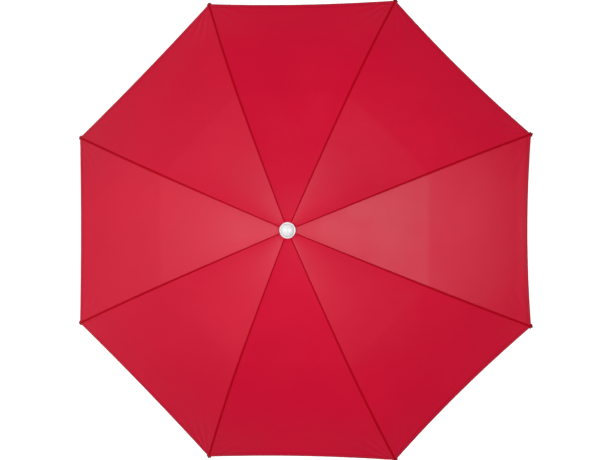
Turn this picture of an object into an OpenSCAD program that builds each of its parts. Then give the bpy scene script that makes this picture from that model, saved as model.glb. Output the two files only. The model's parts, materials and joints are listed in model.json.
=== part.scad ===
// Beach umbrella: a canopy of eight gores on eight hinged ribs, a runner with eight
// stretchers, a tilting two-stage pole with a screw clamp, and a spike for sand.
// Millimetres. +Z runs up the pole and the origin is the tip of the spike.
// A rib and all that belongs to it is drawn pointing along +X, with its hinges along Y,
// and is then turned about the pole to its own azimuth.

/* [Canopy] */
// Radius from the pole's axis to the outer end of a rib
canopy_r = 750; // [720:5:780]
// Slope of a rib where it leaves the crown, in degrees below level
slope_at_crown = 9; // [7:0.5:11]
// Slope at which the rib's inner arc reaches the rib joint
slope_before_joint = 17; // [15:0.5:18]
// Slope at which the rib's outer arc leaves the rib joint
slope_after_joint = 20; // [19:0.5:22]
// Slope of a rib at its tip
slope_at_tip = 36; // [32:0.5:38]
// Radius from the pole's axis to a rib joint
joint_r = 430; // [400:5:440]
// How far the middle of a hem curves in from the straight line between two tips
hem_dip = 10; // [4:1:16]
// Thickness of the cloth
cloth_t = 0.6; // [0.4:0.1:0.8]

/* [Ribs and stretchers] */
// Radius of a rib's wire
rib_wire_r = 1.8; // [1.5:0.1:1.9]
// Radius of a stretcher's wire
stretcher_wire_r = 1.6; // [1.3:0.1:1.6]
// Radius of the circle of hinges at the crown and at the runner
hinge_ring_r = 18; // [18:0.5:20]
// Distance from a rib's wire down to the rivet that holds its stretcher
rivet_drop = 8; // [8:0.5:9]

/* [Pole] */
// Height of the whole umbrella
total_h = 1900; // [1890:5:1920]
// Radius of the lower pole
lower_pole_r = 11; // [11:0.1:12]
// Radius of the middle and top poles
upper_pole_r = 9.5; // [9.2:0.1:9.5]
// Height of the tilt hinge
tilt_z = 925; // [915:5:930]
// How far the head tilts, in degrees
tilt_range = 35; // [20:5:35]
// Height of the lower pole's top end
lower_pole_top = 672; // [660:2:672]
// Length of the spike below the lower pole
spike_l = 80; // [60:5:100]

/* [Hidden] */
rib_count = 8;
rib_step = 360 / rib_count;
half_gore = rib_step / 2;
tube_wall = 1;
press_gap = 0.05;
slide_gap = 0.4;
round_fn = 48;
wire_fn = 24;
arc_fn = 720;

// Crown, cap and canopy washer
crown_z = total_h - 25;
crown_r = hinge_ring_r + 4;
crown_top = crown_z + 6;
crown_bottom = crown_z - 9;
washer_z = crown_top + 1.5;
washer_h = 1.5;
cap_z = washer_z + washer_h;
cap_r = 23.5;
cap_h = total_h - cap_z;
dome_h = 11;
dome_r = (cap_r * cap_r + dome_h * dome_h) / (2 * dome_h);
top_pole_end = cap_z + 3.5;

// Wire rings and the eyes and slots around them
ring_wire_r = 1;
ring_groove_r = 1.05;
eye_r = 3.4;
eye_t = 3;
eye_bore_r = 1.2;
slot_w = 4.4;
slot_floor_r = hinge_ring_r - eye_r - 0.4;

// Rib: two arcs that meet in the clip of the rib joint, then the tip
tip_wall = 2;
ball_r = 3.4;
tip_r = 3;
tip_l = 9;
inner_run = joint_r - hinge_ring_r;
outer_run = canopy_r - joint_r - (tip_wall + ball_r) * cos(slope_at_tip);
clip_slope = (slope_before_joint + slope_after_joint) / 2;
clip_r = 3.4;
clip_l = 14;
clip_bore_r = rib_wire_r + 0.4;
joint_core_l = 8;
ear_gap = 3.8;
ear_t = 1.2;
rivet_r = 1.2;
rivet_head_r = 2.3;

// Cloth over the ribs
cloth_start_r = 26;
cloth_end_r = canopy_r - 6;
cloth_lift = 4.8;
cloth_inner_rows = 6;
cloth_rows = 11;
cloth_columns = 3;
edge_gap = 0.2;

// Radius of an arc, and how far it falls, when it runs a length along X from one slope to another
function arc_r(run, s0, s1) = run / (sin(s1) - sin(s0));
function arc_fall(run, s0, s1) = arc_r(run, s0, s1) * (cos(s0) - cos(s1));
// Fall at a run x along an arc
function fall_at(x, run, s0, s1) = arc_r(run, s0, s1) * (cos(s0) - cos(asin(sin(s0) + x / arc_r(run, s0, s1))));

joint_z = crown_z - arc_fall(inner_run, slope_at_crown, slope_before_joint);
tip_z = joint_z - arc_fall(outer_run, slope_after_joint, slope_at_tip);
rib_end_r = joint_r + outer_run;

// Height of a rib's centre line at a radius
function rib_z(r) = r < joint_r
    ? crown_z - fall_at(r - hinge_ring_r, inner_run, slope_at_crown, slope_before_joint)
    : joint_z - fall_at(min(r - joint_r, outer_run), outer_run, slope_after_joint, slope_at_tip)
      - max(r - rib_end_r, 0) * tan(slope_at_tip);

// Stretcher: as long as the link from the crown's hinge to the rivet
rivet_x = joint_r - rivet_drop * sin(clip_slope);
rivet_z = joint_z - rivet_drop * cos(clip_slope);
link_l = norm([rivet_x - hinge_ring_r, crown_z - rivet_z]);
link_angle = atan((crown_z - rivet_z) / (rivet_x - hinge_ring_r));

// Runner, its stop bead and its catch
runner_z = crown_z - 2 * (crown_z - rivet_z);
runner_top = runner_z + 6;
runner_step = runner_z - 7;
runner_bottom = runner_z - 45;
sleeve_r = 14;
bead_r = 1.2;
catch_w = 2.2;
catch_h = 22;
catch_x = 13;
catch_root_x = 4.5;

// Tilt joint
joint_outer_r = 14.5;
tongue_w = 12;
tongue_r = 12.5;
cheek_r = 13.2;
cheek_in = 6.2;
cheek_out = 10.8;
cheek_flat_drop = 11;
fork_floor = tilt_z - 14;
socket_bottom = tilt_z - 46;
pole_end_below_tilt = 18;
cup_bottom = tilt_z + 14.5;
cup_top = tilt_z + 50;
pin_r = 3;
pin_head_r = 4.4;
button_arm = 8.5;
button_r = 2.1;
button_head_r = 3.6;
button_out = 15.4;
button_in = 0.2;
slot_spare = 18;

// Clamp
collar_r = 15.5;
collar_bottom = lower_pole_top - 40;
collar_top = lower_pole_top + 23;
swage_r = lower_pole_r - 0.4;
clamp_z = lower_pole_top + 12;
screw_r = 3;
screw_tip_x = upper_pole_r + 0.4;
nut_r = 5;
nut_x = 19;
boss_r = 8.5;
boss_x = 27;
knob_x = 30;
knob_h = 12;
knob_r = 17;

lower_bore_r = upper_pole_r + slide_gap;
middle_pole_bottom = lower_pole_top - 200;
spike_r = lower_pole_r;

// Turns what is drawn for the rib on +X to rib number i
module at_rib(i) rotate([0, 0, half_gore + (i - 1) * rib_step]) children();

// A round bar or hole along Y, centred on the origin
module along_y(r, h) rotate([90, 0, 0]) cylinder(r = r, h = h, center = true, $fn = round_fn);

// A tube standing on z0
module tube(r_out, r_in, z0, z1) difference() {
    translate([0, 0, z0]) cylinder(r = r_out, h = z1 - z0, $fn = round_fn);
    translate([0, 0, z0 - 1]) cylinder(r = r_in, h = z1 - z0 + 2, $fn = round_fn);
}

// Ring of round wire about the pole at a height
module wire_ring(ring_r, wire_r, z) translate([0, 0, z])
    rotate_extrude($fn = 96) translate([ring_r, 0]) circle(r = wire_r, $fn = wire_fn);

// Round wire along an arc that starts at (x, z) with slope s0 and ends with slope s1, with a
// length cut off its start and off its end
module wire_arc(x, z, run, s0, s1, wire_r, cut_start = 0, cut_end = 0) {
    rho = arc_r(run, s0, s1);
    degrees_per_mm = 180 / (PI * rho);
    translate([x - rho * sin(s0), 0, z - rho * cos(s0)])
        rotate([90, 0, 0])
            rotate([0, 0, 90 - s1 + cut_end * degrees_per_mm])
                rotate_extrude(angle = s1 - s0 - (cut_start + cut_end) * degrees_per_mm, $fn = arc_fn)
                    translate([rho, 0]) circle(r = wire_r, $fn = wire_fn);
}

// Radial slots for the eyes of all ribs or stretchers, from a floor up to a ceiling
module eye_slots(z0, z1) for (i = [1:rib_count]) at_rib(i)
    translate([slot_floor_r, -slot_w / 2, z0]) cube([crown_r, slot_w, z1 - z0]);

module ground_spike() color("whitesmoke") {
    intersection() {
        cylinder(r1 = 1.5, r2 = spike_r, h = spike_l - 6, $fn = round_fn);
        union() {
            for (turn = [0, 90]) rotate([0, 0, turn])
                translate([-20, -2, 0]) cube([40, 4, spike_l]);
            cylinder(r1 = 1, r2 = lower_pole_r - 3.5, h = spike_l, $fn = round_fn);
        }
    }
    translate([0, 0, spike_l - 6]) cylinder(r = spike_r, h = 6, $fn = round_fn);
    translate([0, 0, spike_l]) cylinder(r = lower_bore_r - press_gap, h = 30, $fn = round_fn);
}

module lower_pole() color("white") difference() {
    union() {
        translate([0, 0, spike_l])
            cylinder(r = lower_pole_r, h = collar_bottom - spike_l, $fn = round_fn);
        translate([0, 0, spike_l])
            cylinder(r = swage_r, h = lower_pole_top - spike_l, $fn = round_fn);
    }
    translate([0, 0, spike_l - 1])
        cylinder(r = lower_bore_r, h = lower_pole_top - spike_l + 2, $fn = round_fn);
}

module clamp_collar() color("white") difference() {
    union() {
        translate([0, 0, collar_bottom])
            cylinder(r = collar_r, h = collar_top - collar_bottom, $fn = round_fn);
        translate([0, 0, collar_top - 6]) cylinder(r = collar_r + 1.5, h = 4, $fn = round_fn);
        translate([0, 0, clamp_z]) rotate([0, 90, 0]) cylinder(r = boss_r, h = boss_x, $fn = round_fn);
    }
    translate([0, 0, collar_bottom - 1])
        cylinder(r = swage_r + press_gap, h = lower_pole_top - collar_bottom + 1.2, $fn = round_fn);
    translate([0, 0, lower_pole_top])
        cylinder(r = lower_bore_r, h = collar_top, $fn = round_fn);
    translate([0, 0, clamp_z]) rotate([0, 90, 0]) cylinder(r = screw_r + 0.3, h = knob_x, $fn = round_fn);
    translate([nut_x, 0, clamp_z]) rotate([0, 90, 0])
        cylinder(r = nut_r + press_gap, h = knob_x, $fn = round_fn);
}

module clamp_nut() color("goldenrod") translate([nut_x, 0, clamp_z]) rotate([0, 90, 0])
    tube(nut_r, screw_r + 0.15, 0.1, boss_x - nut_x);

module clamp_screw() color("silver") translate([screw_tip_x, 0, clamp_z]) rotate([0, 90, 0])
    cylinder(r = screw_r, h = knob_x + knob_h - 3 - screw_tip_x, $fn = round_fn);

module clamp_knob() color("white") translate([knob_x, 0, clamp_z]) rotate([0, 90, 0]) difference() {
    union() {
        cylinder(r = knob_r, h = knob_h, $fn = round_fn);
        translate([0, 0, -1.5]) cylinder(r = 7, h = 3, $fn = round_fn);
    }
    for (turn = [0:60:300]) rotate([0, 0, turn])
        translate([knob_r + 3, 0, -2]) cylinder(r = 6, h = knob_h + 4, $fn = round_fn);
    translate([0, 0, -3]) cylinder(r = screw_r + press_gap, h = knob_h, $fn = round_fn);
}

module middle_pole() color("white")
    tube(upper_pole_r, upper_pole_r - tube_wall, middle_pole_bottom, tilt_z - pole_end_below_tilt - 0.2);

module glide_plug() color("dimgray") {
    translate([0, 0, middle_pole_bottom - 6])
        cylinder(r = lower_bore_r - 0.15, h = 6, $fn = round_fn);
    translate([0, 0, middle_pole_bottom - 1])
        cylinder(r = upper_pole_r - tube_wall - press_gap, h = 16, $fn = round_fn);
}

// Fork on top of the middle pole: two cheeks, rounded about the hinge and flat outside
module tilt_socket() color("white") difference() {
    intersection() {
        translate([0, 0, socket_bottom])
            cylinder(r = joint_outer_r, h = tilt_z + cheek_r - socket_bottom, $fn = round_fn);
        union() {
            translate([-20, -20, socket_bottom - 1]) cube([40, 40, tilt_z - socket_bottom + 1]);
            translate([0, 0, tilt_z]) along_y(cheek_r, 40);
        }
    }
    translate([-20, -cheek_in, fork_floor]) cube([40, 2 * cheek_in, 40]);
    for (side = [-1, 1]) translate([-20, side * (cheek_out + 5) - 5, tilt_z - cheek_flat_drop])
        cube([40, 10, 40]);
    translate([0, 0, socket_bottom - 1])
        cylinder(r = upper_pole_r + press_gap, h = tilt_z - pole_end_below_tilt - socket_bottom + 1, $fn = round_fn);
    translate([0, 0, tilt_z]) along_y(pin_r + press_gap, 40);
    button_slot();
}

// Arc slot in one cheek in which the button's stem travels as the head tilts
module button_slot() translate([0, cheek_out + 1, tilt_z]) rotate([90, 0, 0])
    rotate([0, 0, 90 - tilt_range - slot_spare])
        rotate_extrude(angle = tilt_range + 2 * slot_spare, $fn = 180)
            translate([button_arm - button_r - 0.4, 0])
                square([2 * button_r + 0.8, cheek_out - cheek_in + 2]);

module tilt_pin() color("silver") translate([0, 0, tilt_z]) {
    along_y(pin_r, 2 * cheek_out + 0.4);
    for (side = [-1, 1]) translate([0, side * (cheek_out + 0.8), 0]) along_y(pin_head_r, 1.5);
}

module tilt_knuckle() color("white") difference() {
    union() {
        translate([0, 0, tilt_z]) along_y(tongue_r, tongue_w);
        translate([-tongue_r + 0.5, -tongue_w / 2, tilt_z])
            cube([2 * tongue_r - 1, tongue_w, cup_bottom - tilt_z + 1]);
        translate([0, 0, cup_bottom]) cylinder(r = joint_outer_r, h = cup_top - cup_bottom, $fn = round_fn);
    }
    translate([0, 0, tilt_z + pole_end_below_tilt])
        cylinder(r = upper_pole_r + press_gap, h = cup_top, $fn = round_fn);
    translate([0, 0, tilt_z]) along_y(pin_r + 0.1, 40);
    translate([0, tongue_w / 2, tilt_z + button_arm]) rotate([90, 0, 0])
        translate([0, 0, -1]) cylinder(r = button_r + 0.2, h = tongue_w, $fn = round_fn);
}

module tilt_button() color("crimson") translate([0, 0, tilt_z + button_arm]) {
    translate([0, (button_in + button_out) / 2, 0]) along_y(button_r, button_out - button_in);
    translate([0, button_out - 0.75, 0]) along_y(button_head_r, 1.5);
}

module tilt_spring() color("silver") translate([0, button_in - 0.1, tilt_z + button_arm]) rotate([90, 0, 0])
    for (coil = [0:4]) translate([0, 0, 0.5 + coil * 0.95])
        rotate_extrude($fn = round_fn) translate([1.5, 0]) circle(r = 0.5, $fn = wire_fn);

module top_pole() color("white") difference() {
    union() {
        translate([0, 0, tilt_z + pole_end_below_tilt + 0.2])
            cylinder(r = upper_pole_r, h = top_pole_end - tilt_z - pole_end_below_tilt - 0.2, $fn = round_fn);
        wire_ring(upper_pole_r - 0.2, bead_r, runner_top + bead_r + 0.4);
    }
    translate([0, 0, tilt_z]) cylinder(r = upper_pole_r - tube_wall, h = total_h, $fn = round_fn);
    translate([upper_pole_r - 3, -catch_w / 2 - 0.4, runner_bottom - catch_h - 1.4])
        cube([6, catch_w + 0.8, catch_h + 2]);
}

module crown() color("white") difference() {
    translate([0, 0, crown_bottom]) cylinder(r = crown_r, h = crown_top - crown_bottom, $fn = round_fn);
    translate([0, 0, crown_bottom - 1])
        cylinder(r = upper_pole_r + press_gap, h = crown_top - crown_bottom + 2, $fn = round_fn);
    eye_slots(crown_bottom - 1, crown_z + eye_r + 0.8);
    wire_ring(hinge_ring_r, ring_groove_r, crown_z);
}

module crown_wire() color("silver") wire_ring(hinge_ring_r, ring_wire_r, crown_z);

module canopy_washer() color("white") translate([0, 0, washer_z]) difference() {
    cylinder(r1 = cap_r - 2, r2 = cap_r - 3, h = washer_h, $fn = round_fn);
    translate([0, 0, -1]) cylinder(r = upper_pole_r + press_gap, h = washer_h + 2, $fn = round_fn);
}

module cap() color("white") {
    difference() {
        intersection() {
            translate([0, 0, cap_z]) cylinder(r = cap_r, h = cap_h + 1, $fn = 96);
            translate([0, 0, total_h - dome_r]) sphere(r = dome_r, $fn = 180);
        }
        translate([0, 0, cap_z - 1]) cylinder(r = upper_pole_r + press_gap, h = 5, $fn = round_fn);
    }
    translate([0, 0, crown_z]) cylinder(r = upper_pole_r - tube_wall - press_gap, h = cap_z + 5 - crown_z, $fn = round_fn);
}

module runner() color("white") difference() {
    union() {
        translate([0, 0, runner_step]) cylinder(r = crown_r, h = runner_top - runner_step, $fn = round_fn);
        translate([0, 0, runner_bottom]) cylinder(r = sleeve_r, h = runner_top - runner_bottom, $fn = round_fn);
    }
    translate([0, 0, runner_bottom - 1])
        cylinder(r = upper_pole_r + slide_gap, h = runner_top - runner_bottom + 2, $fn = round_fn);
    eye_slots(runner_step - 1, runner_top + 1);
    wire_ring(hinge_ring_r, ring_groove_r, runner_z);
    for (groove = [1:4]) wire_ring(sleeve_r + 0.4, 1.2, runner_bottom + groove * 6);
}

// Flat spring blade: its level top holds the runner up and its slope lets the runner pass
module runner_catch() color("silver") translate([0, catch_w / 2, runner_bottom - 0.4]) rotate([90, 0, 0])
    linear_extrude(catch_w)
        polygon([[catch_root_x, 0], [catch_x, 0], [catch_x, -2], [upper_pole_r - 1.3, -catch_h],
                 [catch_root_x, -catch_h]]);

// Bowed wire with a flat eye at the crown; a short thicker stretch in the clip joins its two arcs
module rib() color("silver") difference() {
    union() {
        wire_arc(hinge_ring_r, crown_z, inner_run, slope_at_crown, slope_before_joint, rib_wire_r,
                 cut_end = joint_core_l / 4);
        wire_arc(joint_r, joint_z, outer_run, slope_after_joint, slope_at_tip, rib_wire_r,
                 cut_start = joint_core_l / 4);
        translate([joint_r, 0, joint_z]) rotate([0, 90 + clip_slope, 0])
            cylinder(r = rib_wire_r + 0.2, h = joint_core_l, center = true, $fn = round_fn);
        translate([hinge_ring_r, 0, crown_z]) along_y(eye_r, eye_t);
    }
    translate([hinge_ring_r, 0, crown_z]) along_y(eye_bore_r, eye_t * 2);
}

// Sleeve and ball on a rib's outer end
module rib_tip() color("maroon") translate([rib_end_r, 0, tip_z]) rotate([0, 90 + slope_at_tip, 0])
    difference() {
        union() {
            translate([0, 0, -tip_l]) cylinder(r = tip_r, h = tip_l + tip_wall, $fn = round_fn);
            translate([0, 0, tip_wall]) sphere(r = ball_r, $fn = round_fn);
        }
        translate([0, 0, -tip_l - 1]) cylinder(r = rib_wire_r + press_gap, h = tip_l + 1.1, $fn = round_fn);
    }

// Crimped clip on the rib with two ears, and the rivet through them
module rib_joint() color("silver") translate([joint_r, 0, joint_z]) rotate([0, clip_slope, 0]) {
    difference() {
        union() {
            rotate([0, 90, 0]) cylinder(r = clip_r, h = clip_l, center = true, $fn = round_fn);
            for (side = [-1, 1]) translate([0, side * (ear_gap + ear_t) / 2, 0]) {
                translate([-3.5, -ear_t / 2, -rivet_drop]) cube([7, ear_t, rivet_drop - 1]);
                translate([0, 0, -rivet_drop]) along_y(3.5, ear_t);
            }
        }
        rotate([0, 90, 0]) cylinder(r = clip_bore_r, h = clip_l + 2, center = true, $fn = round_fn);
    }
    translate([0, 0, -rivet_drop]) {
        along_y(rivet_r, ear_gap + 2 * ear_t);
        for (side = [-1, 1]) translate([0, side * (ear_gap / 2 + ear_t + 0.4), 0]) along_y(rivet_head_r, 1);
    }
}

module stretcher() color("silver") translate([rivet_x, 0, rivet_z]) rotate([0, 180 - link_angle, 0])
    difference() {
        union() {
            translate([eye_r - 1, 0, 0]) rotate([0, 90, 0])
                cylinder(r = stretcher_wire_r, h = link_l - 2 * (eye_r - 1), $fn = wire_fn);
            for (x = [0, link_l]) translate([x, 0, 0]) along_y(eye_r - 0.2, eye_t);
        }
        along_y(rivet_r + 0.1, eye_t * 2);
        translate([link_l, 0, 0]) along_y(eye_bore_r, eye_t * 2);
    }

// A point of the cloth: row 0 is at the crown and the last row is the hem; column 0 lies over
// the rib, and the outermost columns lie on the middles of the two gores beside it
function cloth_point(row, column) =
    let (s = abs(column) / cloth_columns,
         hem_r = cloth_end_r - hem_dip * (1 - pow(1 - s, 2)),
         inner = min(row / cloth_inner_rows, 1),
         outer = max(row - cloth_inner_rows, 0) / (cloth_rows - cloth_inner_rows),
         r = cloth_start_r + (joint_r - cloth_start_r) * inner + (hem_r - joint_r) * outer,
         side = column < 0 ? -1 : 1)
    [r * (1 - s * pow(sin(half_gore), 2)),
     side * s * (r * sin(half_gore) * cos(half_gore) - edge_gap),
     rib_z(r) + cloth_lift];

cloth_width = 2 * cloth_columns + 1;
cloth_sheet = [for (row = [0:cloth_rows]) for (column = [-cloth_columns:cloth_columns]) cloth_point(row, column)];
cloth_count = len(cloth_sheet);
function cloth_index(row, column) = row * cloth_width + column;
// Points around the edge of the sheet, once round
cloth_edge = concat(
    [for (c = [0:cloth_width - 1]) cloth_index(0, c)],
    [for (r = [1:cloth_rows]) cloth_index(r, cloth_width - 1)],
    [for (c = [cloth_width - 2:-1:0]) cloth_index(cloth_rows, c)],
    [for (r = [cloth_rows - 1:-1:1]) cloth_index(r, 0)]);

// Cloth of the two half gores beside one rib
module canopy() color("crimson") {
    top_faces = [for (r = [0:cloth_rows - 1]) for (c = [0:cloth_width - 2])
        let (a = cloth_index(r, c), b = cloth_index(r, c + 1),
             d = cloth_index(r + 1, c), e = cloth_index(r + 1, c + 1))
        each [[a, b, e], [a, e, d]]];
    edge_faces = [for (k = [0:len(cloth_edge) - 1])
        let (a = cloth_edge[k], b = cloth_edge[(k + 1) % len(cloth_edge)])
        each [[b, a, a + cloth_count], [b, a + cloth_count, b + cloth_count]]];
    polyhedron(
        points = concat(cloth_sheet, [for (p = cloth_sheet) p - [0, 0, cloth_t]]),
        faces = concat(top_faces, edge_faces,
            [for (f = top_faces) [f[2] + cloth_count, f[1] + cloth_count, f[0] + cloth_count]]));
}

ground_spike();
lower_pole();
clamp_collar();
clamp_nut();
clamp_screw();
clamp_knob();
middle_pole();
glide_plug();
tilt_socket();
tilt_pin();
tilt_knuckle();
tilt_button();
tilt_spring();
top_pole();
crown();
crown_wire();
canopy_washer();
cap();
runner();
runner_catch();
for (i = [1:rib_count]) {
    at_rib(i) rib();
    at_rib(i) rib_tip();
    at_rib(i) rib_joint();
    at_rib(i) stretcher();
    at_rib(i) canopy();
}
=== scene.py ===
"""Beach umbrella: sewn canopy, mouldings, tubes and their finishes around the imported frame."""
import json
import math

import bpy
import numpy as np
from bpy.props import FloatProperty, FloatVectorProperty, IntProperty, PointerProperty
from bpy.types import Operator, Panel, PropertyGroup
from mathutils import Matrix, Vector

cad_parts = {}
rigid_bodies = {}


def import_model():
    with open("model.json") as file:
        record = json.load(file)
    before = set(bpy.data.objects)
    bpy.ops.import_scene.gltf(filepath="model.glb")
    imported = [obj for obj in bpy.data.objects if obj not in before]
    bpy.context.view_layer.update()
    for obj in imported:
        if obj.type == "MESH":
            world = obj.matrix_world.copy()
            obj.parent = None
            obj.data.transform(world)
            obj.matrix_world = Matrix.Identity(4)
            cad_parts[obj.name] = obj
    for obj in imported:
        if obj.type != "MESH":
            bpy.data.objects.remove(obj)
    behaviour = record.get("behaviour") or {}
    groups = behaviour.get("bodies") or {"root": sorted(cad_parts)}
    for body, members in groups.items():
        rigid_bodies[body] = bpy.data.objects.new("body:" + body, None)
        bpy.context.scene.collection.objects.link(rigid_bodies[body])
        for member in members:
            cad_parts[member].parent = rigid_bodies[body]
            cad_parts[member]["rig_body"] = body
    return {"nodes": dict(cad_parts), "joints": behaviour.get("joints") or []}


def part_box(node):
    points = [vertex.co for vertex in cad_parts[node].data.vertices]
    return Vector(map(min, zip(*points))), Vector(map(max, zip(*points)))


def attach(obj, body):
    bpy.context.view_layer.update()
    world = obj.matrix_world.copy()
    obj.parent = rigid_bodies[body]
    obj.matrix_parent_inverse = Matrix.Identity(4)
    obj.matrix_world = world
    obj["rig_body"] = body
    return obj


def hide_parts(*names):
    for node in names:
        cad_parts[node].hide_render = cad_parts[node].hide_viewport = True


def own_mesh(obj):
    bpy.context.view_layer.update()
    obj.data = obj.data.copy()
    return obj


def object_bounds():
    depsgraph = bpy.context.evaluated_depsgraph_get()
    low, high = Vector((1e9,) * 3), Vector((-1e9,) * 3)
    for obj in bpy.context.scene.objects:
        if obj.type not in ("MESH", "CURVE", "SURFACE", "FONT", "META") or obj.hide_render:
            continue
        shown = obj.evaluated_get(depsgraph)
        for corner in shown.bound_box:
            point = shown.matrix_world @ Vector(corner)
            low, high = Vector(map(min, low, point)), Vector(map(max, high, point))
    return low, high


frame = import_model()
CAD_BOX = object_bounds()

bl_info = {
    "name": "Beach Umbrella",
    "version": (1, 0, 0),
    "blender": (4, 5, 0),
    "location": "3D View > Sidebar > Umbrella",
    "description": "Builds the canopy, frame fittings and finishes of a folding beach umbrella",
    "category": "Add Mesh",
}

JOINTS = {joint["name"]: joint for joint in frame["joints"]}
RIB_COUNT = 8
RIB_STEP = math.tau / RIB_COUNT
HALF_GORE = RIB_STEP / 2
CROWN_HINGE = JOINTS["rib_fold_1"]["pos_m"]
CROWN_Z = CROWN_HINGE[2]
HINGE_RING_R = math.hypot(CROWN_HINGE[0], CROWN_HINGE[1])
TOP_Z = CAD_BOX[1].z
TIP_LOW, TIP_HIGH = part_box("rib_tip_1")
RUNNER_LOW, RUNNER_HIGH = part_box("runner")
CAP_LOW, CAP_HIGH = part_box("cap")


class CanopySettings(PropertyGroup):
    """Sizes and colours of the cloth."""
    radius: FloatProperty(name="Rib tip radius", description="Pole axis to the end of a rib",
                          default=0.750, min=0.72, max=0.78, unit="LENGTH")
    joint_radius: FloatProperty(name="Rib joint radius", description="Pole axis to a rib joint",
                                default=0.430, min=0.40, max=0.44, unit="LENGTH")
    crown_slope: FloatProperty(name="Slope at the crown", description="Slope of a rib at the crown",
                               default=math.radians(9), subtype="ANGLE")
    joint_slope_in: FloatProperty(name="Slope before the joint", default=math.radians(17),
                                  description="Slope of a rib as it reaches its joint", subtype="ANGLE")
    joint_slope_out: FloatProperty(name="Slope after the joint", default=math.radians(20),
                                   description="Slope of a rib as it leaves its joint", subtype="ANGLE")
    tip_slope: FloatProperty(name="Slope at the tip", default=math.radians(36),
                             description="Slope of a rib at its tip", subtype="ANGLE")
    lift: FloatProperty(name="Cloth above the wire", default=0.0046,
                        description="Height of the cloth's face over a rib's centre line", unit="LENGTH")
    start_radius: FloatProperty(name="Inner radius", default=0.019,
                                description="Where the gores start, under the cap", unit="LENGTH")
    hem_inset: FloatProperty(name="Hem inset", default=0.0047,
                             description="How far the hem stops short of the rib's end", unit="LENGTH")
    hem_dip: FloatProperty(name="Hem dip", default=0.011,
                           description="How far a hem curves in between two tips", unit="LENGTH")
    hem_width: FloatProperty(name="Hem width", default=0.011, description="Width of the turned hem",
                             unit="LENGTH")
    sag: FloatProperty(name="Sag", default=0.004, description="Sag of a gore between two ribs",
                       unit="LENGTH")
    arch: FloatProperty(name="Hem arch", default=0.020, unit="LENGTH",
                        description="Rise of a hem's middle above the line between two tips")
    thickness: FloatProperty(name="Cloth thickness", default=0.0005,
                             description="Thickness of the cloth", unit="LENGTH")
    seam_width: FloatProperty(name="Seam width", default=0.0070,
                              description="Width of the felled seam over a rib", unit="LENGTH")
    rows: IntProperty(name="Rows", default=150, description="Rows of the cloth's mesh along a rib")
    columns: IntProperty(name="Columns", default=56, description="Columns across half a gore")
    keep: FloatProperty(name="Folded share", default=0.24,
                        description="Share of a half gore's width that is left when the canopy is closed")
    cloth: FloatVectorProperty(name="Cloth", default=(0.515, 0.0020, 0.0262), size=3, subtype="COLOR",
                               description="Colour of the cloth")
    # Seam colour: darker than the cloth, partly for the felled seam's double layer and partly as painted shade
    # along each seam.
    seam: FloatVectorProperty(name="Seam", default=(0.375, 0.0005, 0.0080), size=3, subtype="COLOR",
                              description="Colour of the seams")
    thread: FloatVectorProperty(name="Thread", default=(0.42, 0.0015, 0.018), size=3, subtype="COLOR",
                                description="Colour of the sewing thread")


class FrameSettings(PropertyGroup):
    """Colours of the frame's finishes."""
    white: FloatVectorProperty(name="White moulding", default=(0.68, 0.68, 0.69), size=3,
                               subtype="COLOR", description="Colour of the moulded parts")
    tube: FloatVectorProperty(name="White coat", default=(0.70, 0.70, 0.71), size=3, subtype="COLOR",
                              description="Colour of the coated tubes and wires")
    tip: FloatVectorProperty(name="Rib tips", default=(0.030, 0.004, 0.006), size=3, subtype="COLOR",
                             description="Colour of the rib tips")
    button: FloatVectorProperty(name="Button", default=(0.50, 0.01, 0.03), size=3, subtype="COLOR",
                                description="Colour of the tilt button")


class StageSettings(PropertyGroup):
    """Camera and light."""
    view_tilt: FloatProperty(name="View tilt", default=math.radians(8.5), subtype="ANGLE",
                             description="Angle between the view and the pole")
    view_distance: FloatProperty(name="View distance", default=5.5, unit="LENGTH",
                                 description="Camera to the rim of the canopy")
    frame_width: FloatProperty(name="Framed width", default=1.843, unit="LENGTH",
                               description="Width seen at the rim of the canopy")
    aim_x: FloatProperty(name="Aim", default=0.010, unit="LENGTH",
                         description="Where the view's centre meets the rim's plane")
    floor: FloatVectorProperty(name="Floor", default=(0.90, 0.90, 0.90), size=3, subtype="COLOR",
                               description="Colour of the floor")


# ---------------------------------------------------------------- surfaces

def quad_grid(rows, columns, closed=False, start=0):
    """Quads of a grid of points numbered row by row; closed joins the last column to the first."""
    r = np.arange(rows - 1)[:, None]
    c = np.arange(columns if closed else columns - 1)[None, :]
    n = (c + 1) % columns
    quads = np.stack([r * columns + c, r * columns + n, (r + 1) * columns + n, (r + 1) * columns + c], -1)
    return quads.reshape(-1, 4) + start


def add_piece(name, points, faces, material, body, uv=None, sharp=38.0, slot=None, edge=None):
    """Puts arrays of points and faces into a mesh object at the origin that rides on a body. edge is
    a value per point, from 0 to 1, of painted shade that the cloth's finish darkens by."""
    mesh = bpy.data.meshes.new(name)
    mesh.from_pydata(np.asarray(points, float).tolist(), [], [list(map(int, f)) for f in faces])
    mesh.polygons.foreach_set("use_smooth", np.ones(len(mesh.polygons), bool))
    if uv is not None:
        corner = np.empty(len(mesh.loops), np.int32)
        mesh.loops.foreach_get("vertex_index", corner)
        layer = mesh.uv_layers.new(name="cut")
        layer.data.foreach_set("uv", np.asarray(uv, np.float32)[corner].ravel())
    if edge is not None:
        layer = mesh.attributes.new("edge", "FLOAT", "POINT")
        layer.data.foreach_set("value", np.asarray(edge, np.float32).ravel())
    mesh.materials.append(material)
    mesh.update()
    mesh.set_sharp_from_angle(angle=math.radians(sharp))
    piece = bpy.data.objects.new(name, mesh)
    bpy.context.scene.collection.objects.link(piece)
    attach(piece, body)
    return piece


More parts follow.
